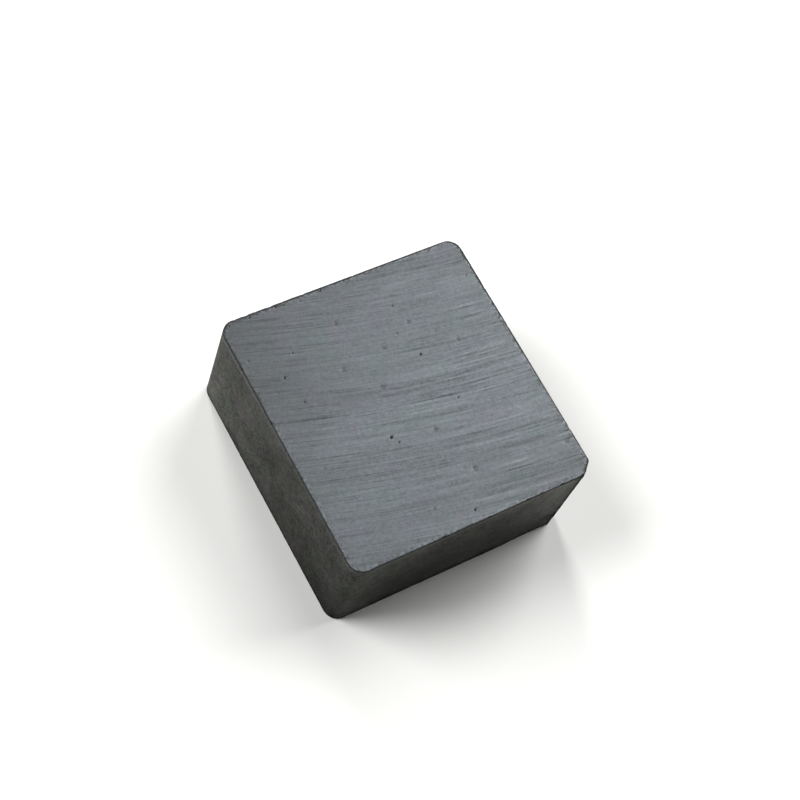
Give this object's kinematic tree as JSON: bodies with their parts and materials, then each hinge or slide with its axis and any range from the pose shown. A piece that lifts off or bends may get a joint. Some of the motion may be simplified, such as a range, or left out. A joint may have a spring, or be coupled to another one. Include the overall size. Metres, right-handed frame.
{
  "type": "block magnet",
  "caption": "Thick rectangular block magnet of sintered ferrite, with ground pole faces, matt walls and rounded upright corners.",
  "frame": {"origin": "centre of the lower pole face, on which the block lies", "axes": "+Z through the thickness, the magnetised direction, from the lower to the upper pole face; +Y along the longer side of the pole face; +X across it, with the worn corner at +X, -Y"},
  "size_m": [0.0478, 0.05, 0.0222],
  "materials": {
    "ferrite": "matte"
  },
  "bodies": {
    "root": {"magnet_block": "ferrite"}
  },
  "joints": []
}
